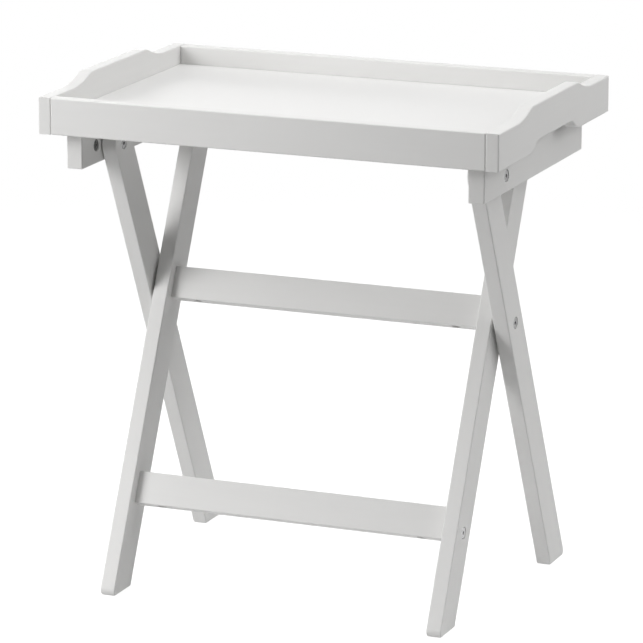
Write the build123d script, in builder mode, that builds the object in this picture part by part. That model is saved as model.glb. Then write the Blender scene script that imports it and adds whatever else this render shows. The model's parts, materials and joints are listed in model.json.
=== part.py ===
from build123d import *
import os
from math import cos, radians, sin, tan

os.makedirs("parts", exist_ok=True)

# Tray: outside sizes, and heights above the floor
tray_width = 580.0
tray_depth = 388.0
end_thickness = 16.2
rail_thickness = 15.0
rail_bottom = 567.0
rail_height = 44.5
edge_round = 1.8
seam_round = 1.5

# Tray ends: raised middle on top, hand-grip arch below, both with S-shaped shoulders;
# the foot share is the part of a shoulder that its lower arc takes up
crest_rise = 12.0
crest_half_length = 74.0
crest_foot = 134.0
crest_foot_share = 0.78
arch_rise = 13.0
arch_half_length = 54.0
arch_foot = 90.0
arch_foot_share = 0.6

# Base panel: a tongue all round sits in grooves of the rails and ends
base_top = 588.4
base_thickness = 9.5
base_edge_gap = 0.3
tongue_bottom = 583.0
tongue_thickness = 4.0
tongue_length = 6.0
groove_depth = 6.5
groove_height = 4.2

# Corner dowels, two at each corner
corner_dowel_radius = 3.0
corner_dowel_length = 24.0
corner_dowel_heights = (572.5, 599.0)
dowel_play = 0.05
dowel_end_play = 0.5
dowel_chamfer = 0.6

# Runners under the tray, which carry the pivots
runner_inner_x = 244.5
runner_thickness = 20.0
runner_length = 341.0
runner_bottom = 522.7
runner_round = 1.5

# Cam locks and cam bolts that hold the runners to the base panel
cam_y = 131.0
cam_drop = 34.0
cam_radius = 7.4
cam_length = 12.6
cam_pocket_radius = 7.5
cam_pocket_depth = 14.0
cam_recess = 1.0
cam_cross_length = 9.0
cam_cross_width = 1.8
cam_cross_depth = 1.5
cam_slot_width = 7.4
cam_slot_start = 6.1
cam_slot_depth = 7.8
cam_slot_below_axis = 3.7
cam_bolt_head_radius = 3.4
cam_bolt_head_height = 3.0
cam_bolt_neck_radius = 1.8
cam_bolt_neck_length = 6.5
cam_bolt_thread_radius = 2.5
cam_bolt_thread_length = 8.0
cam_bolt_hole_radius = 4.0

# Legs: the toe is the sharp corner of the foot and the heel the blunt one; the round along a foot's
# two sides starts a hair outside them
lean_angle = 64.3
foot_centre_y = 164.75
leg_width = 45.5
leg_thickness = 19.0
leg_round = 1.6
toe_round = 7.0
heel_round = 4.0
foot_side_round = 4.0
foot_side_margin = 0.05
outer_leg_inner_x = 224.0
inner_leg_inner_x = 201.9
pivot_reach = 222.0
inner_top_reach = 212.0

# Stretchers between the inner legs: distances along the leg from the cross pivot
stretcher_width = 39.5
stretcher_thickness = 19.0
stretcher_round = 1.0
bolt_above_edge = 11.7
lower_bolt_along = -258.0
dowel_above_bolt = 16.0
stretcher_dowel_radius = 4.0
stretcher_dowel_in_leg = 12.0
stretcher_dowel_in_stretcher = 18.0

# Flat-headed connector bolts sunk in counterbores, barrel nuts, sleeve nuts and washers
head_radius = 6.8
head_height = 2.0
head_round = 0.6
head_recess = 0.4
head_bore_radius = 7.5
socket_radius = 2.4
socket_depth = 3.0
shank_radius = 3.0
running_play = 0.05
loose_play = 0.15
side_gap = 0.3
barrel_radius = 5.0
barrel_length = 14.0
barrel_inset = 33.0
barrel_hole_over = 8.0
barrel_slot_width = 1.4
barrel_slot_depth = 1.2
bolt_past_barrel = 4.0
bolt_hole_past_tip = 4.0
sleeve_radius = 4.5
sleeve_in_runner = 9.0
sleeve_flange_radius = 6.8
sleeve_flange_height = 2.0
pivot_bolt_tip_x = 234.0
pivot_washer_radius = 10.0
cross_washer_radius = 9.0

# Rest blocks under the tray, which the tops of the inner legs stand against
block_width = 22.0
block_toe_along_face = 47.0
block_lip_reach = 208.0
block_lip_thickness = 12.0
block_round = 3.0
block_heel_y = 127.0
block_heel_end = 146.0
block_heel_bottom = 564.9
block_toe_screw_y = 74.0
block_heel_screw_y = 137.0
block_screw_seat = 574.9
screw_head_radius = 3.5
screw_head_height = 2.0
screw_cross_length = 3.6
screw_cross_width = 1.0
screw_cross_depth = 1.0
screw_shank_radius = 1.75
screw_in_base = 7.0
screw_counterbore_radius = 4.0
screw_counterbore_depth = 12.0

# Derived places
half_width = tray_width / 2
half_depth = tray_depth / 2
inner_half_width = half_width - end_thickness
inner_half_depth = half_depth - rail_thickness
rail_top = rail_bottom + rail_height
crest_top = rail_top + crest_rise
arch_top = rail_bottom + arch_rise
rail_centre_y = half_depth - rail_thickness / 2
base_bottom = base_top - base_thickness
groove_bottom = tongue_bottom - (groove_height - tongue_thickness) / 2
runner_outer_x = runner_inner_x + runner_thickness
runner_centre_x = runner_inner_x + runner_thickness / 2
cam_z = base_bottom - cam_drop
outer_leg_outer_x = outer_leg_inner_x + leg_thickness
inner_leg_outer_x = inner_leg_inner_x + leg_thickness
inner_leg_centre_x = inner_leg_inner_x + leg_thickness / 2
head_sunk = head_height + head_recess
flange_sunk = sleeve_flange_height + head_recess
up_y = cos(radians(lean_angle))
up_z = sin(radians(lean_angle))
cross_z = foot_centre_y * tan(radians(lean_angle))
pivot_y = -pivot_reach * up_y
pivot_z = cross_z + pivot_reach * up_z
half_leg = leg_width / 2
half_foot = half_leg / up_z
barrel_x = inner_leg_inner_x - barrel_inset
bolt_tip_x = barrel_x - barrel_radius - bolt_past_barrel
inner_top = inner_top_reach + half_leg

# The cross-section plane of the inner frame: local x goes across the leg to its back, local y goes up it
inner_frame_plane = Plane(origin=(0, 0, cross_z), x_dir=(0, up_z, -up_y), z_dir=(1, 0, 0))


def on_inner_leg(along, across):
    """Y and Z of a point given along and across the inner leg, from the cross pivot."""
    return (along * up_y + across * up_z, cross_z + along * up_z - across * up_y)


def along_x(x, y, z, facing=1):
    """A plane at a point, facing along the tray's length to the right, or with -1 to the left."""
    return Plane(origin=(x, y, z), z_dir=(facing, 0, 0))


def shoulder(foot, top, foot_share):
    """An S-shaped shoulder of two arcs, level at both ends; they meet on the line from foot to top."""
    meet = (foot[0] + (top[0] - foot[0]) * foot_share, foot[1] + (top[1] - foot[1]) * foot_share)
    ahead = 1 if top[0] > foot[0] else -1
    TangentArc(foot, meet, tangent=(ahead, 0))
    TangentArc(top, meet, tangent=(-ahead, 0))


def leg_board(lean, reach, inner_x):
    """One leg without holes: lean +1 rises to the back, -1 rises to the front; top and foot are rounded."""
    def spot(along, across):
        y, z = on_inner_leg(along, across)
        return (lean * y, z)

    toe = (-lean * (foot_centre_y + half_foot), 0)
    heel = (-lean * (foot_centre_y - half_foot), 0)
    with BuildPart() as board:
        with BuildSketch(Plane.YZ.offset(inner_x)):
            with BuildLine():
                FilletPolyline(spot(reach, -half_leg), toe, heel, spot(reach, half_leg),
                               radius=[toe_round, heel_round])
                ThreePointArc(spot(reach, half_leg), spot(reach + half_leg, 0), spot(reach, -half_leg))
            make_face()
        extrude(amount=leg_thickness)
        fillet(board.faces().filter_by(Plane.YZ).edges(), radius=leg_round)
        with BuildSketch(Plane.XZ) as front_view:
            with Locations((inner_x + leg_thickness / 2, 0)):
                Rectangle(leg_thickness + 2 * foot_side_margin, rail_top, align=(Align.CENTER, Align.MIN))
            fillet(front_view.vertices().group_by(Axis.Y)[0], radius=foot_side_round)
        extrude(amount=half_depth, both=True, mode=Mode.INTERSECT)
    return board.part


def connector_bolt(head_x, y, z, tip_x):
    """One flat-headed connector bolt: its head rests on the plane x = head_x, its tip points inwards."""
    with BuildPart() as bolt:
        with BuildSketch(along_x(head_x, y, z)):
            Circle(head_radius)
        extrude(amount=head_height)
        fillet(bolt.edges().group_by(Axis.X)[-1], radius=head_round)
        with BuildSketch(along_x(head_x, y, z)):
            Circle(shank_radius)
        extrude(amount=tip_x - head_x)
        with BuildSketch(along_x(head_x + head_height, y, z)):
            RegularPolygon(socket_radius, 6)
        extrude(amount=-socket_depth, mode=Mode.SUBTRACT)
    return bolt.part


def barrel_nut(along):
    """One barrel nut, its axis along the inner leg, crossed by the bolt at the given place."""
    y, z = on_inner_leg(along, 0)
    foot_y, foot_z = on_inner_leg(along - barrel_length / 2, 0)
    with BuildPart() as nut:
        with BuildSketch(Plane(origin=(barrel_x, foot_y, foot_z), x_dir=(1, 0, 0), z_dir=(0, up_y, up_z))):
            Circle(barrel_radius)
        extrude(amount=barrel_length)
        with BuildSketch(Plane(origin=(barrel_x, foot_y, foot_z), x_dir=(1, 0, 0), z_dir=(0, up_y, up_z))):
            Rectangle(2 * barrel_radius, barrel_slot_width)
        extrude(amount=barrel_slot_depth, mode=Mode.SUBTRACT)
        with Locations(along_x(barrel_x, y, z)):
            Hole(shank_radius + dowel_play)
    return nut.part


def stretcher(bolt_along):
    """One stretcher between the inner legs, bored for its bolts, barrel nuts and dowels."""
    bolt_y, bolt_z = on_inner_leg(bolt_along, 0)
    dowel_y, dowel_z = on_inner_leg(bolt_along + dowel_above_bolt, 0)
    edge_y, edge_z = on_inner_leg(bolt_along - bolt_above_edge, 0)
    with BuildPart() as bar:
        with BuildSketch(inner_frame_plane.offset(-inner_leg_inner_x)):
            with Locations((0, bolt_along - bolt_above_edge + stretcher_width / 2)):
                Rectangle(stretcher_thickness, stretcher_width)
        extrude(amount=2 * inner_leg_inner_x)
        fillet(bar.edges(), radius=stretcher_round)
        for side in (-1, 1):
            with Locations(along_x(side * inner_leg_inner_x, bolt_y, bolt_z)):
                Hole(shank_radius + loose_play, depth=inner_leg_inner_x - bolt_tip_x + bolt_hole_past_tip)
            with Locations(along_x(side * inner_leg_inner_x, dowel_y, dowel_z)):
                Hole(stretcher_dowel_radius + dowel_play, depth=stretcher_dowel_in_stretcher + dowel_end_play)
            with Locations(Plane(origin=(side * barrel_x, edge_y, edge_z), x_dir=(1, 0, 0),
                                 z_dir=(0, up_y, up_z))):
                Hole(barrel_radius + dowel_play, depth=bolt_above_edge + barrel_hole_over)
    return bar.part


# Tray rails, butted between the two ends
with BuildPart() as tray_front_rail:
    with BuildSketch(Plane.XY.offset(rail_bottom)):
        with Locations((0, -rail_centre_y)):
            Rectangle(2 * inner_half_width, rail_thickness)
    extrude(amount=rail_height)
    fillet(tray_front_rail.edges().filter_by(Axis.X), radius=edge_round)
    fillet(tray_front_rail.faces().filter_by(Axis.X).edges(), radius=seam_round)
    with BuildSketch(Plane.XY.offset(groove_bottom)):
        with Locations((0, -inner_half_depth)):
            Rectangle(2 * inner_half_width, 2 * groove_depth)
    extrude(amount=groove_height, mode=Mode.SUBTRACT)
    for side in (-1, 1):
        for height in corner_dowel_heights:
            with Locations(along_x(side * inner_half_width, -rail_centre_y, height)):
                Hole(corner_dowel_radius + dowel_play, depth=corner_dowel_length / 2 + dowel_end_play)

with BuildPart() as tray_back_rail:
    mirror(tray_front_rail.part, about=Plane.XZ)

# Tray ends, running the full depth
with BuildPart() as tray_right_end:
    with BuildSketch(Plane.YZ.offset(inner_half_width)):
        with BuildLine():
            Polyline((-arch_foot, rail_bottom), (-half_depth, rail_bottom), (-half_depth, rail_top),
                     (-crest_foot, rail_top))
            for side in (-1, 1):
                shoulder((side * crest_foot, rail_top), (side * crest_half_length, crest_top),
                         crest_foot_share)
                shoulder((side * arch_foot, rail_bottom), (side * arch_half_length, arch_top),
                         arch_foot_share)
            Line((-crest_half_length, crest_top), (crest_half_length, crest_top))
            Line((-arch_half_length, arch_top), (arch_half_length, arch_top))
            Polyline((crest_foot, rail_top), (half_depth, rail_top), (half_depth, rail_bottom),
                     (arch_foot, rail_bottom))
        make_face()
    extrude(amount=end_thickness)
    fillet(tray_right_end.faces().sort_by(Axis.X)[-1].edges(), radius=edge_round)
    fillet(tray_right_end.faces().sort_by(Axis.X)[0].edges(), radius=seam_round)
    with BuildSketch(Plane.XY.offset(groove_bottom)):
        with Locations((inner_half_width, 0)):
            Rectangle(2 * groove_depth, 2 * (inner_half_depth + groove_depth))
    extrude(amount=groove_height, mode=Mode.SUBTRACT)
    for side in (-1, 1):
        for height in corner_dowel_heights:
            with Locations(along_x(inner_half_width, side * rail_centre_y, height)):
                Hole(corner_dowel_radius + dowel_play, depth=corner_dowel_length / 2 + dowel_end_play)

with BuildPart() as tray_left_end:
    mirror(tray_right_end.part, about=Plane.YZ)

# Base panel: its top face ends inside the rails, its tongue goes into their grooves
with BuildPart() as tray_base_panel:
    with BuildSketch(Plane.XY.offset(base_bottom)):
        Rectangle(2 * (inner_half_width - base_edge_gap), 2 * (inner_half_depth - base_edge_gap))
    extrude(amount=base_thickness)
    with BuildSketch(Plane.XY.offset(tongue_bottom)):
        Rectangle(2 * (inner_half_width + tongue_length), 2 * (inner_half_depth + tongue_length))
    extrude(amount=tongue_thickness)
    with Locations(Plane.XY.offset(base_bottom)):
        with GridLocations(2 * runner_centre_x, 2 * cam_y, 2, 2):
            Hole(cam_bolt_thread_radius + dowel_play, depth=cam_bolt_thread_length + dowel_end_play)
        for screw_y in (block_toe_screw_y, block_heel_screw_y):
            with Locations((-inner_leg_centre_x, screw_y), (inner_leg_centre_x, screw_y)):
                Hole(screw_shank_radius + dowel_play, depth=screw_in_base + dowel_end_play)

# Glued dowels in the four corners of the tray
with BuildPart() as tray_corner_dowels:
    for height in corner_dowel_heights:
        with BuildSketch(Plane.YZ.offset(inner_half_width - corner_dowel_length / 2)):
            with Locations((-rail_centre_y, height), (rail_centre_y, height)):
                Circle(corner_dowel_radius)
        extrude(amount=corner_dowel_length)
    chamfer(tray_corner_dowels.edges().filter_by(GeomType.CIRCLE), length=dowel_chamfer)
    mirror(about=Plane.YZ)

# Runners under the base panel
with BuildPart() as right_runner:
    with BuildSketch(Plane.YZ.offset(runner_inner_x)):
        with Locations((0, (runner_bottom + base_bottom) / 2)):
            Rectangle(runner_length, base_bottom - runner_bottom)
    extrude(amount=runner_thickness)
    fillet(right_runner.edges().group_by(Axis.Z)[0] + right_runner.edges().filter_by(Axis.Z),
           radius=runner_round)
    with Locations(along_x(runner_outer_x, pivot_y, pivot_z)):
        CounterBoreHole(shank_radius + loose_play, head_bore_radius, head_sunk)
    with Locations(along_x(runner_inner_x, pivot_y, pivot_z)):
        Hole(sleeve_radius + dowel_play, depth=sleeve_in_runner + dowel_end_play)
    for side in (-1, 1):
        with Locations(along_x(runner_inner_x, side * cam_y, cam_z)):
            Hole(cam_pocket_radius, depth=cam_pocket_depth)
        with Locations((runner_centre_x, side * cam_y, base_bottom)):
            Hole(cam_bolt_hole_radius, depth=cam_drop)

with BuildPart() as left_runner:
    mirror(right_runner.part, about=Plane.YZ)

# Cam locks: discs with a cross recess, slotted for the head of the cam bolt
with BuildPart() as runner_cam_locks:
    with BuildSketch(Plane.YZ.offset(runner_inner_x + cam_recess)):
        with Locations((-cam_y, cam_z), (cam_y, cam_z)):
            Circle(cam_radius)
    extrude(amount=cam_length)
    with BuildSketch(Plane.YZ.offset(runner_inner_x + cam_recess)):
        with Locations((-cam_y, cam_z), (cam_y, cam_z)):
            Rectangle(cam_cross_length, cam_cross_width)
            Rectangle(cam_cross_width, cam_cross_length)
    extrude(amount=cam_cross_depth, mode=Mode.SUBTRACT)
    with BuildSketch(Plane.YZ.offset(runner_inner_x + cam_slot_start)):
        with Locations((-cam_y, cam_z - cam_slot_below_axis), (cam_y, cam_z - cam_slot_below_axis)):
            Rectangle(cam_slot_width, 2 * cam_radius, align=(Align.CENTER, Align.MIN))
    extrude(amount=cam_slot_depth, mode=Mode.SUBTRACT)
    mirror(about=Plane.YZ)

# Cam bolts: screwed up into the base panel, head held by the cam
cam_head_top = cam_z + cam_bolt_head_height / 2
cam_neck_top = cam_head_top + cam_bolt_neck_length
with BuildPart() as runner_cam_bolts:
    for bottom, top, radius in (
        (cam_z - cam_bolt_head_height / 2, cam_head_top, cam_bolt_head_radius),
        (cam_head_top, cam_neck_top, cam_bolt_neck_radius),
        (cam_neck_top, base_bottom, cam_bolt_head_radius),
        (base_bottom, base_bottom + cam_bolt_thread_length, cam_bolt_thread_radius),
    ):
        with BuildSketch(Plane.XY.offset(bottom)):
            with GridLocations(2 * runner_centre_x, 2 * cam_y, 2, 2):
                Circle(radius)
        extrude(amount=top - bottom)

# Tray pivots: bolt through the runner into a sleeve nut, on which the outer leg turns
right_pivot_bolt = connector_bolt(runner_outer_x - head_sunk, pivot_y, pivot_z, pivot_bolt_tip_x)
with BuildPart() as tray_pivot_bolts:
    add(right_pivot_bolt)
    mirror(about=Plane.YZ)

sleeve_flange_x = outer_leg_inner_x + flange_sunk
sleeve_end_x = runner_inner_x + sleeve_in_runner
with BuildPart() as tray_pivot_sleeve_nuts:
    with BuildSketch(along_x(sleeve_flange_x, pivot_y, pivot_z)):
        Circle(sleeve_flange_radius)
    extrude(amount=-sleeve_flange_height)
    fillet(tray_pivot_sleeve_nuts.edges().group_by(Axis.X)[0], radius=head_round)
    with BuildSketch(along_x(sleeve_flange_x, pivot_y, pivot_z)):
        Circle(sleeve_radius)
    extrude(amount=sleeve_end_x - sleeve_flange_x)
    with Locations(along_x(sleeve_end_x, pivot_y, pivot_z)):
        Hole(shank_radius + dowel_play, depth=sleeve_end_x - pivot_bolt_tip_x + bolt_hole_past_tip)
    with BuildSketch(along_x(sleeve_flange_x - sleeve_flange_height, pivot_y, pivot_z)):
        RegularPolygon(socket_radius, 6)
    extrude(amount=socket_depth, mode=Mode.SUBTRACT)
    mirror(about=Plane.YZ)

with BuildPart() as tray_pivot_washers:
    with BuildSketch(along_x(outer_leg_outer_x + side_gap, pivot_y, pivot_z)):
        Circle(pivot_washer_radius)
        Circle(sleeve_radius + dowel_play, mode=Mode.SUBTRACT)
    extrude(amount=runner_inner_x - outer_leg_outer_x - side_gap)
    mirror(about=Plane.YZ)

# Rest blocks: a sloping face square to the inner leg, with a lip behind the leg's top
face_reach = inner_top + side_gap
lip_across = half_leg + side_gap
toe_y, toe_z = on_inner_leg(face_reach, -block_toe_along_face)
with BuildPart() as right_rest_block:
    with BuildSketch(Plane.YZ.offset(inner_leg_centre_x - block_width / 2)):
        with BuildLine():
            Polyline(
                (toe_y, base_bottom),
                (toe_y, toe_z),
                on_inner_leg(face_reach, lip_across),
                on_inner_leg(block_lip_reach, lip_across),
                on_inner_leg(block_lip_reach, lip_across + block_lip_thickness),
                (block_heel_y, block_heel_bottom),
                (block_heel_end, block_heel_bottom),
                (block_heel_end, base_bottom),
                close=True,
            )
        make_face()
    extrude(amount=block_width)
    fillet(right_rest_block.edges().filter_by(Axis.X).sort_by(Axis.Z)[:2], radius=block_round)
    for screw_y in (block_toe_screw_y, block_heel_screw_y):
        with Locations((inner_leg_centre_x, screw_y, base_bottom)):
            Hole(screw_shank_radius + loose_play, depth=base_bottom - block_screw_seat)
        with BuildSketch(Plane.XY.offset(block_screw_seat)):
            with Locations((inner_leg_centre_x, screw_y)):
                Circle(screw_counterbore_radius)
        extrude(amount=-screw_counterbore_depth, mode=Mode.SUBTRACT)

with BuildPart() as left_rest_block:
    mirror(right_rest_block.part, about=Plane.YZ)

block_screw_spots = [(inner_leg_centre_x, screw_y) for screw_y in (block_toe_screw_y, block_heel_screw_y)]
with BuildPart() as rest_block_screws:
    for bottom, top, radius in (
        (block_screw_seat - screw_head_height, block_screw_seat, screw_head_radius),
        (block_screw_seat, base_bottom + screw_in_base, screw_shank_radius),
    ):
        with BuildSketch(Plane.XY.offset(bottom)):
            with Locations(*block_screw_spots):
                Circle(radius)
        extrude(amount=top - bottom)
    with BuildSketch(Plane.XY.offset(block_screw_seat - screw_head_height)):
        with Locations(*block_screw_spots):
            Rectangle(screw_cross_length, screw_cross_width)
            Rectangle(screw_cross_width, screw_cross_length)
    extrude(amount=screw_cross_depth, mode=Mode.SUBTRACT)
    mirror(about=Plane.YZ)

# Outer legs: tops turn on the tray pivots, middles on the cross pivots, feet at the back
outer_board = leg_board(-1, pivot_reach, outer_leg_inner_x)
with BuildPart() as right_outer_leg:
    add(outer_board)
    with Locations(along_x(outer_leg_inner_x, pivot_y, pivot_z, facing=-1)):
        CounterBoreHole(sleeve_radius + running_play, head_bore_radius, flange_sunk + side_gap)
    with Locations(along_x(outer_leg_outer_x, 0, cross_z)):
        CounterBoreHole(shank_radius + running_play, head_bore_radius, head_sunk + side_gap)

with BuildPart() as left_outer_leg:
    mirror(right_outer_leg.part, about=Plane.YZ)

# Inner legs: feet at the front, tops under the rest blocks, joined by the two stretchers
lower_bolt_y, lower_bolt_z = on_inner_leg(lower_bolt_along, 0)
inner_board = leg_board(1, inner_top_reach, inner_leg_inner_x)
with BuildPart() as right_inner_leg:
    add(inner_board)
    with Locations(along_x(inner_leg_outer_x, 0, cross_z)):
        Hole(shank_radius + loose_play)
    with Locations(along_x(inner_leg_outer_x, lower_bolt_y, lower_bolt_z)):
        CounterBoreHole(shank_radius + loose_play, head_bore_radius, head_sunk)
    for bolt_along in (0, lower_bolt_along):
        with Locations(along_x(inner_leg_inner_x, *on_inner_leg(bolt_along + dowel_above_bolt, 0))):
            Hole(stretcher_dowel_radius + dowel_play, depth=stretcher_dowel_in_leg + dowel_end_play)

with BuildPart() as left_inner_leg:
    mirror(right_inner_leg.part, about=Plane.YZ)

upper_bar = stretcher(0)
with BuildPart() as upper_stretcher:
    add(upper_bar)

lower_bar = stretcher(lower_bolt_along)
with BuildPart() as lower_stretcher:
    add(lower_bar)

# Cross pivots: bolt through both legs into the upper stretcher, with a spacer washer between the legs
right_cross_bolt = connector_bolt(outer_leg_outer_x - head_sunk, 0, cross_z, bolt_tip_x)
with BuildPart() as cross_pivot_bolts:
    add(right_cross_bolt)
    mirror(about=Plane.YZ)

with BuildPart() as cross_pivot_washers:
    with BuildSketch(along_x(inner_leg_outer_x, 0, cross_z)):
        Circle(cross_washer_radius)
        Circle(shank_radius + loose_play, mode=Mode.SUBTRACT)
    extrude(amount=outer_leg_inner_x - inner_leg_outer_x - side_gap)
    mirror(about=Plane.YZ)

right_upper_nut = barrel_nut(0)
with BuildPart() as upper_barrel_nuts:
    add(right_upper_nut)
    mirror(about=Plane.YZ)

# Lower stretcher bolts and their barrel nuts
right_lower_bolt = connector_bolt(inner_leg_outer_x - head_sunk, lower_bolt_y, lower_bolt_z, bolt_tip_x)
with BuildPart() as lower_stretcher_bolts:
    add(right_lower_bolt)
    mirror(about=Plane.YZ)

right_lower_nut = barrel_nut(lower_bolt_along)
with BuildPart() as lower_barrel_nuts:
    add(right_lower_nut)
    mirror(about=Plane.YZ)

# Dowels that keep the stretchers from turning on their bolts
with BuildPart() as stretcher_dowels:
    with BuildSketch(inner_frame_plane.offset(inner_leg_inner_x - stretcher_dowel_in_stretcher)):
        with Locations((0, dowel_above_bolt), (0, lower_bolt_along + dowel_above_bolt)):
            Circle(stretcher_dowel_radius)
    extrude(amount=stretcher_dowel_in_stretcher + stretcher_dowel_in_leg)
    chamfer(stretcher_dowels.edges().filter_by(GeomType.CIRCLE), length=dowel_chamfer)
    mirror(about=Plane.YZ)

# Every piece is labelled and written under its own name
nodes = {
    "tray_front_rail": tray_front_rail,
    "tray_back_rail": tray_back_rail,
    "tray_left_end": tray_left_end,
    "tray_right_end": tray_right_end,
    "tray_base_panel": tray_base_panel,
    "tray_corner_dowels": tray_corner_dowels,
    "left_runner": left_runner,
    "right_runner": right_runner,
    "runner_cam_locks": runner_cam_locks,
    "runner_cam_bolts": runner_cam_bolts,
    "tray_pivot_bolts": tray_pivot_bolts,
    "tray_pivot_sleeve_nuts": tray_pivot_sleeve_nuts,
    "tray_pivot_washers": tray_pivot_washers,
    "left_rest_block": left_rest_block,
    "right_rest_block": right_rest_block,
    "rest_block_screws": rest_block_screws,
    "left_outer_leg": left_outer_leg,
    "right_outer_leg": right_outer_leg,
    "left_inner_leg": left_inner_leg,
    "right_inner_leg": right_inner_leg,
    "upper_stretcher": upper_stretcher,
    "lower_stretcher": lower_stretcher,
    "cross_pivot_bolts": cross_pivot_bolts,
    "cross_pivot_washers": cross_pivot_washers,
    "upper_barrel_nuts": upper_barrel_nuts,
    "lower_stretcher_bolts": lower_stretcher_bolts,
    "lower_barrel_nuts": lower_barrel_nuts,
    "stretcher_dowels": stretcher_dowels,
}
for label, node in nodes.items():
    node.part.label = label
    export_step(node.part, f"parts/{label}.step")
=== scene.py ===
import json
import math

import bpy
from mathutils import Euler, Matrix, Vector

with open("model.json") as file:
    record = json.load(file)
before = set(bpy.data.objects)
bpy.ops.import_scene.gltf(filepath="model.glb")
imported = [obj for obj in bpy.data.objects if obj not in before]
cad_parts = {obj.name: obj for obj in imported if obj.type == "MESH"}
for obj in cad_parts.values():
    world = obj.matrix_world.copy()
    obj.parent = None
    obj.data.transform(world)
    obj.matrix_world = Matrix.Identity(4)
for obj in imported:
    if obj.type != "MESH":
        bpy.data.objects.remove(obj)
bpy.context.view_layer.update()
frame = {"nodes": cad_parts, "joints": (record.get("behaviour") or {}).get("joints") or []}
joint_at = {joint["name"]: Vector(joint["pos_m"]) for joint in frame["joints"]}
quarter_turn = math.radians(90)

# How far the legs lean from the floor, from the line between their two pivots
leg_rise = joint_at["tray_lift"] - joint_at["leg_fold"]
leg_lean = math.atan2(leg_rise.z, -leg_rise.y)

# Camera: to the right of the front and a little above the tray, through a long lens
camera_place = Vector((1.90155, -4.61655, 1.56846))
camera_yaw = math.radians(22.466)
camera_pitch = math.radians(14.03)
camera_sensor = 36.0
camera_lens = 237.29
camera_reach = 100.0

# Floor: width, whiteness, dullness, glow, how far it covers the air behind it, and where that cover fades
floor_width = 60.0
floor_white = (0.93, 0.93, 0.93, 1.0)
floor_roughness = 0.7
floor_glow = 0.64
floor_cover = 0.45
floor_fade = (0.55, 2.2)

# Air: plain white all round
air_white = (1.0, 1.0, 1.0, 1.0)
air_strength = 1.0

# Soft lights: where each one stands, its width and its power; all face the middle of the table
table_middle = Vector((0.0, 0.0, 0.35))
softboxes = {
    "key_softbox": ((-1.5, -1.5, 1.2), 1.2, 16.8),
    "high_key_softbox": ((-1.5, -1.55, 1.75), 1.1, 13.4),
    "low_key_softbox": ((-1.3, -1.5, 0.9), 1.1, 8.6),
    "right_softbox": ((1.9, 0.4, 1.3), 1.1, 12.3),
    "right_back_softbox": ((2.0, 1.0, 2.5), 1.5, 15.0),
    "left_back_softbox": ((-1.4, 2.4, 0.6), 1.2, 20.0),
    "top_softbox": ((0.0, 0.0, 3.4), 3.0, 48.5),
    "front_top_softbox": ((0.9, -0.7, 3.0), 2.0, 9.5),
}

# Which way the wood grain runs, as the turn that lays the X axis along it
grain_along_x = (0.0, 0.0, 0.0)
grain_along_y = (0.0, 0.0, quarter_turn)
grain_up_outer_leg = (0.0, -leg_lean, -quarter_turn)
grain_up_inner_leg = (0.0, -leg_lean, quarter_turn)

# Colours of the finishes, as linear light
paint_pale = (0.775, 0.772, 0.763, 1.0)
paint_deep = (0.735, 0.731, 0.72, 1.0)
panel_pale = (0.795, 0.793, 0.785, 1.0)
panel_deep = (0.765, 0.762, 0.753, 1.0)
# Plated steel of most fittings, its colour darkened as painted shade: these heads, nuts and screws sit in
# shade under the tray and in their counterbores
zinc_shade_pale = (0.36, 0.36, 0.36, 1.0)
zinc_shade_deep = (0.2, 0.2, 0.202, 1.0)
# A paler copy of the same plated steel, as painted light, for the lower stretcher bolts, which stand in the
# light low on the legs
lit_zinc_pale = (0.52, 0.52, 0.52, 1.0)
lit_zinc_deep = (0.37, 0.37, 0.372, 1.0)
# Metal of the cam locks and barrel nuts, darkened as painted shade: they sit in shade in their holes
cast_shade_pale = (0.3, 0.298, 0.294, 1.0)
cast_shade_deep = (0.16, 0.159, 0.157, 1.0)
nylon_pale = (0.8, 0.8, 0.77, 1.0)
nylon_deep = (0.7, 0.7, 0.67, 1.0)
beech_pale = (0.64, 0.45, 0.27, 1.0)
beech_deep = (0.42, 0.26, 0.13, 1.0)

# How dull each finish is on the whole, and how strongly paint bends light
paint_roughness = 0.56
zinc_roughness = 0.45
cast_roughness = 0.55
nylon_roughness = 0.46
beech_roughness = 0.62
paint_ior = 1.48

# Halfway between the deep and the pale colour, which is also the middle of a noise
middle = 0.5


class Wire:
    """A value inside a material. Arithmetic on it adds Math nodes."""

    def __init__(self, finish, socket):
        self.finish = finish
        self.socket = socket

    def _math(self, operation, first, second):
        return self.finish.add("ShaderNodeMath", {"operation": operation}, {0: first, 1: second})

    def __add__(self, other):
        return self._math("ADD", self, other)

    def __radd__(self, other):
        return self._math("ADD", other, self)

    def __sub__(self, other):
        return self._math("SUBTRACT", self, other)

    def __rsub__(self, other):
        return self._math("SUBTRACT", other, self)

    def __mul__(self, other):
        return self._math("MULTIPLY", self, other)

    def __rmul__(self, other):
        return self._math("MULTIPLY", other, self)

    def __abs__(self):
        return self._math("ABSOLUTE", self, 0.0)

    def swing(self, amount):
        """How far a noise is from its middle, times an amount."""
        return (self - middle) * amount


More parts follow.
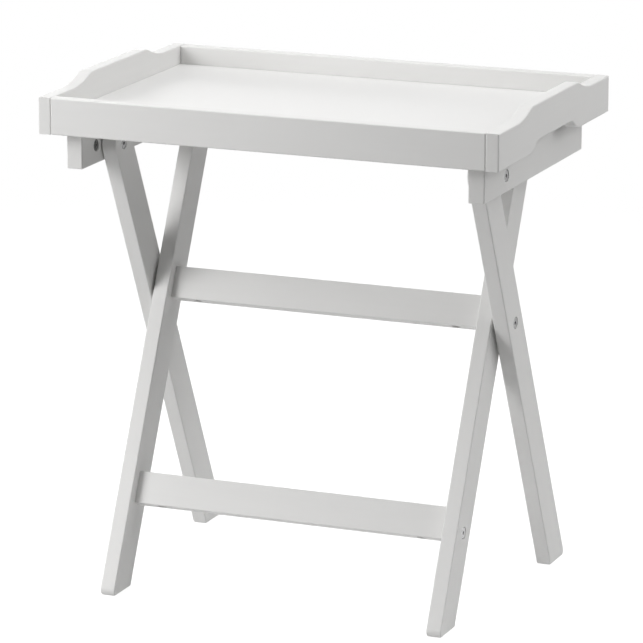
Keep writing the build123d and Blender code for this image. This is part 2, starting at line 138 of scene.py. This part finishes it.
class Finish:
    """One material: a Principled shader and the nodes that feed it."""

    def __init__(self, name):
        self.material = bpy.data.materials.new(name)
        self.material.use_nodes = True
        self.tree = self.material.node_tree
        self.shader = self.tree.nodes["Principled BSDF"]
        self.place = self.add("ShaderNodeTexCoord", out="Object")

    def add(self, kind, settings=None, sockets=None, out=0):
        """Adds a node, sets it, feeds its sockets, and gives back one of its outputs."""
        node = self.tree.nodes.new(kind)
        for key, value in (settings or {}).items():
            setattr(node, key, value)
        for key, value in (sockets or {}).items():
            self.feed(node.inputs[key], value)
        return Wire(self, node.outputs[out])

    def feed(self, socket, value):
        """Links a wire to a socket, or sets the socket's own value."""
        if isinstance(value, Wire):
            self.tree.links.new(value.socket, socket)
        else:
            socket.default_value = value

    def set(self, **inputs):
        """Feeds the shader: base_color=... goes to its Base Color socket."""
        for key, value in inputs.items():
            self.feed(self.shader.inputs[key.replace("_", " ").title().replace("Ior", "IOR")], value)

    def noise(self, where, scale=1.0, detail=2.0, roughness=0.5):
        """Noise from 0 to 1, with scale cells to each unit of where."""
        return self.add("ShaderNodeTexNoise", None,
                        {"Vector": where, "Scale": scale, "Detail": detail, "Roughness": roughness})

    def stretched(self, turn, size):
        """Object coordinates turned with the grain and measured in its own lengths."""
        return self.add("ShaderNodeMapping", {"vector_type": "TEXTURE"},
                        {"Vector": self.place, "Rotation": turn, "Scale": size})

    def mix(self, factor, first, second):
        """The first colour at 0, the second at 1."""
        return self.add("ShaderNodeMix", {"data_type": "RGBA"}, {0: factor, 6: first, 7: second}, out=2)

    def between(self, value, low, high):
        """0 below low, 1 above high, smooth between."""
        return self.add("ShaderNodeMapRange", {"interpolation_type": "SMOOTHSTEP"},
                        {"Value": value, "From Min": low, "From Max": high})

    def bump(self, height, strength, distance):
        """A normal bent by a height, whose full relief is a distance in metres."""
        return self.add("ShaderNodeBump", None,
                        {"Strength": strength, "Distance": distance, "Height": height})


# Paint on wood: grain sizes along and across it in metres, peel and clouds to the metre
wood_figure_size = (0.16, 0.008, 0.008)
wood_pore_size = (0.02, 0.0009, 0.0009)
wood_peel_scale = 620.0
wood_cloud_scale = 7.0

# Paint on wood: how squarely a face looks along the grain where end grain begins and where it is full
end_grain_facing = (0.82, 0.96)

# Paint on wood: how much each of these changes the tone, the roughness and the relief
wood_figure_tone = 0.7
wood_cloud_tone = 0.6
end_grain_tone = 0.3
wood_cloud_roughness = 0.12
wood_peel_roughness = 0.06
end_grain_roughness = 0.1
wood_figure_height = 0.35
wood_pore_height = 0.3
wood_peel_height = 0.35
end_grain_height = 0.5


def satin_paint(name, grain_turn):
    """White satin lacquer on solid wood: the grain shows faintly through, more at the ends of a board."""
    finish = Finish(name)
    figure = finish.noise(finish.stretched(grain_turn, wood_figure_size), detail=4.0, roughness=0.6)
    pores = finish.noise(finish.stretched(grain_turn, wood_pore_size))
    peel = finish.noise(finish.place, wood_peel_scale)
    cloud = finish.noise(finish.place, wood_cloud_scale, detail=3.0, roughness=0.55)
    along = Vector((1, 0, 0))
    along.rotate(Euler(grain_turn, "XYZ"))
    facing = finish.add("ShaderNodeTexCoord", out="Normal")
    facing_along = finish.add("ShaderNodeVectorMath", {"operation": "DOT_PRODUCT"},
                              {0: facing, 1: tuple(along)}, out="Value")
    end_grain = finish.between(abs(facing_along), *end_grain_facing)
    tone = middle + figure.swing(wood_figure_tone) + cloud.swing(wood_cloud_tone)
    finish.set(base_color=finish.mix(tone - end_grain * end_grain_tone, paint_deep, paint_pale))
    roughness = paint_roughness + cloud.swing(wood_cloud_roughness) + peel.swing(wood_peel_roughness)
    finish.set(roughness=roughness + end_grain * end_grain_roughness)
    peel_height = peel * (wood_peel_height + end_grain * end_grain_height)
    height = figure * wood_figure_height + pores * wood_pore_height + peel_height
    finish.set(normal=finish.bump(height, strength=0.16, distance=0.0004))
    finish.set(ior=paint_ior)
    return finish.material


# Paint on the base panel: peel, ripple and clouds to the metre, and how much each one changes
panel_peel_scale = 480.0
panel_ripple_scale = 120.0
panel_cloud_scale = 5.0
panel_cloud_tone = 0.8
panel_ripple_tone = 0.3
panel_cloud_roughness = 0.1
panel_peel_roughness = 0.08
panel_peel_height = 0.6
panel_ripple_height = 0.4


def panel_paint(name):
    """The same lacquer sprayed on smooth board: no grain, a fine orange peel."""
    finish = Finish(name)
    peel = finish.noise(finish.place, panel_peel_scale)
    ripple = finish.noise(finish.place, panel_ripple_scale)
    cloud = finish.noise(finish.place, panel_cloud_scale, detail=3.0, roughness=0.55)
    tone = middle + cloud.swing(panel_cloud_tone) + ripple.swing(panel_ripple_tone)
    finish.set(base_color=finish.mix(tone, panel_deep, panel_pale))
    roughness = paint_roughness + cloud.swing(panel_cloud_roughness) + peel.swing(panel_peel_roughness)
    finish.set(roughness=roughness)
    height = peel * panel_peel_height + ripple * panel_ripple_height
    finish.set(normal=finish.bump(height, strength=0.12, distance=0.0004))
    finish.set(ior=paint_ior)
    return finish.material


# Metal: patches and scuffs to the metre, where a patch turns pale, and how much each one changes
metal_patch_scale = 420.0
metal_scuff_scale = 1900.0
metal_patch_edge = (0.32, 0.68)
metal_patch_roughness = 0.16
metal_scuff_roughness = 0.12
metal_patch_height = 0.4
metal_scuff_height = 0.6


def tumbled_metal(name, deep, pale, roughness):
    """Metal that was tumbled in a barrel: patchy, with fine scuffs, dull rather than bright."""
    finish = Finish(name)
    patch = finish.noise(finish.place, metal_patch_scale, detail=3.0, roughness=0.6)
    scuff = finish.noise(finish.place, metal_scuff_scale)
    finish.set(base_color=finish.mix(finish.between(patch, *metal_patch_edge), deep, pale))
    finish.set(roughness=roughness + patch.swing(metal_patch_roughness) + scuff.swing(metal_scuff_roughness))
    height = patch * metal_patch_height + scuff * metal_scuff_height
    finish.set(normal=finish.bump(height, strength=0.1, distance=0.0002))
    finish.set(metallic=1.0)
    return finish.material


# Nylon: moulding grain and clouds to the metre, and how much the grain changes the roughness
nylon_grain_scale = 1400.0
nylon_cloud_scale = 60.0
nylon_grain_roughness = 0.14


def nylon_spacer(name):
    """Moulded off-white nylon, matt with a fine moulding grain."""
    finish = Finish(name)
    grain = finish.noise(finish.place, nylon_grain_scale)
    cloud = finish.noise(finish.place, nylon_cloud_scale)
    finish.set(base_color=finish.mix(cloud, nylon_deep, nylon_pale))
    finish.set(roughness=nylon_roughness + grain.swing(nylon_grain_roughness))
    finish.set(normal=finish.bump(grain, strength=0.1, distance=0.0002))
    return finish.material


# Beech: sizes of figure and flecks along and across the grain, a fleck's edge, and how much flecks change
beech_figure_size = (0.02, 0.0012, 0.0012)
beech_fleck_size = (0.004, 0.0004, 0.0004)
beech_fleck_edge = (0.58, 0.7)
beech_fleck_tone = 0.4
beech_fleck_roughness = 0.15
beech_fleck_height = 0.5


def bare_beech(name):
    """Unfinished beech of the dowels, with short dark flecks along the grain."""
    finish = Finish(name)
    figure = finish.noise(finish.stretched(grain_along_x, beech_figure_size), detail=3.0, roughness=0.6)
    speckle = finish.noise(finish.stretched(grain_along_x, beech_fleck_size))
    fleck = finish.between(speckle, *beech_fleck_edge)
    finish.set(base_color=finish.mix(figure - fleck * beech_fleck_tone, beech_deep, beech_pale))
    finish.set(roughness=beech_roughness + fleck * beech_fleck_roughness)
    height = figure - fleck * beech_fleck_height
    finish.set(normal=finish.bump(height, strength=0.2, distance=0.0003))
    return finish.material


paint_on_rails = satin_paint("satin_paint_on_rails", grain_along_x)
paint_on_ends = satin_paint("satin_paint_on_ends", grain_along_y)
paint_on_outer_legs = satin_paint("satin_paint_on_outer_legs", grain_up_outer_leg)
paint_on_inner_legs = satin_paint("satin_paint_on_inner_legs", grain_up_inner_leg)
paint_on_panel = panel_paint("satin_paint_on_panel")
# This finish carries painted shade: its colour is darkened for fittings that sit in shade under the tray and
# in counterbores
zinc_darkened_as_shade = tumbled_metal("zinc_plated_steel", zinc_shade_deep, zinc_shade_pale, zinc_roughness)
# This finish carries painted light: a paler copy of the one above, for the lower stretcher bolts that stand
# in the light
zinc_brightened_as_light = tumbled_metal("zinc_plated_steel_painted_light", lit_zinc_deep, lit_zinc_pale, zinc_roughness)
# This finish carries painted shade: darkened for the cam locks and barrel nuts in their holes
cast_zinc_darkened_as_shade = tumbled_metal("die_cast_zinc", cast_shade_deep, cast_shade_pale, cast_roughness)
nylon = nylon_spacer("nylon")
beech = bare_beech("bare_beech")

# Which pieces of the table have which finish
finishes = {
    paint_on_rails: ("tray_front_rail", "tray_back_rail", "upper_stretcher", "lower_stretcher"),
    paint_on_ends: ("tray_left_end", "tray_right_end", "left_runner", "right_runner",
                    "left_rest_block", "right_rest_block"),
    paint_on_outer_legs: ("left_outer_leg", "right_outer_leg"),
    paint_on_inner_legs: ("left_inner_leg", "right_inner_leg"),
    paint_on_panel: ("tray_base_panel",),
    zinc_darkened_as_shade: ("runner_cam_bolts", "tray_pivot_bolts", "tray_pivot_sleeve_nuts", "rest_block_screws",
           "cross_pivot_bolts"),
    zinc_brightened_as_light: ("lower_stretcher_bolts",),
    cast_zinc_darkened_as_shade: ("runner_cam_locks", "upper_barrel_nuts", "lower_barrel_nuts"),
    nylon: ("tray_pivot_washers", "cross_pivot_washers"),
    beech: ("tray_corner_dowels", "stretcher_dowels"),
}
for material, names in finishes.items():
    for name in names:
        for slot in frame["nodes"][name].material_slots:
            slot.material = material


def studio_floor():
    """A wide white floor. It glows a little near the table and fades into the white air far from it."""
    bpy.ops.object.select_all(action="DESELECT")
    bpy.ops.mesh.primitive_plane_add(size=floor_width)
    floor = bpy.context.object
    floor.name = "studio_floor"
    finish = Finish("white_floor")
    reach = finish.add("ShaderNodeVectorMath", {"operation": "LENGTH"}, {0: finish.place}, out="Value")
    finish.set(base_color=floor_white, roughness=floor_roughness)
    finish.set(emission_color=floor_white, emission_strength=floor_glow)
    finish.set(alpha=floor_cover * (1.0 - finish.between(reach, *floor_fade)))
    floor.data.materials.append(finish.material)


def softbox(name, place, width, power):
    """A soft square light at a place, turned to face the middle of the table."""
    lamp = bpy.data.lights.new(name, "AREA")
    lamp.size = width
    lamp.energy = power
    light = bpy.data.objects.new(name, lamp)
    light.location = place
    light.rotation_euler = (table_middle - Vector(place)).to_track_quat("-Z", "Y").to_euler()
    bpy.context.scene.collection.objects.link(light)


def studio_air():
    """White air all round, which shows behind the table and in the gloss but doesn't light it."""
    world = bpy.data.worlds.new("studio_air")
    world.use_nodes = True
    backdrop = world.node_tree.nodes["Background"]
    backdrop.inputs["Color"].default_value = air_white
    backdrop.inputs["Strength"].default_value = air_strength
    bpy.context.scene.world = world
    world.cycles_visibility.diffuse = False


def photo_camera():
    """The camera that sees the table as it is photographed."""
    eye = bpy.data.cameras.new("photo_camera")
    eye.sensor_width = camera_sensor
    eye.lens = camera_lens
    eye.clip_end = camera_reach
    camera = bpy.data.objects.new("photo_camera", eye)
    camera.location = camera_place
    camera.rotation_euler = (quarter_turn - camera_pitch, 0.0, camera_yaw)
    bpy.context.scene.collection.objects.link(camera)
    bpy.context.scene.camera = camera


studio_floor()
studio_air()
for name, (place, width, power) in softboxes.items():
    softbox(name, place, width, power)
photo_camera()
bpy.context.scene.view_settings.view_transform = "Standard"
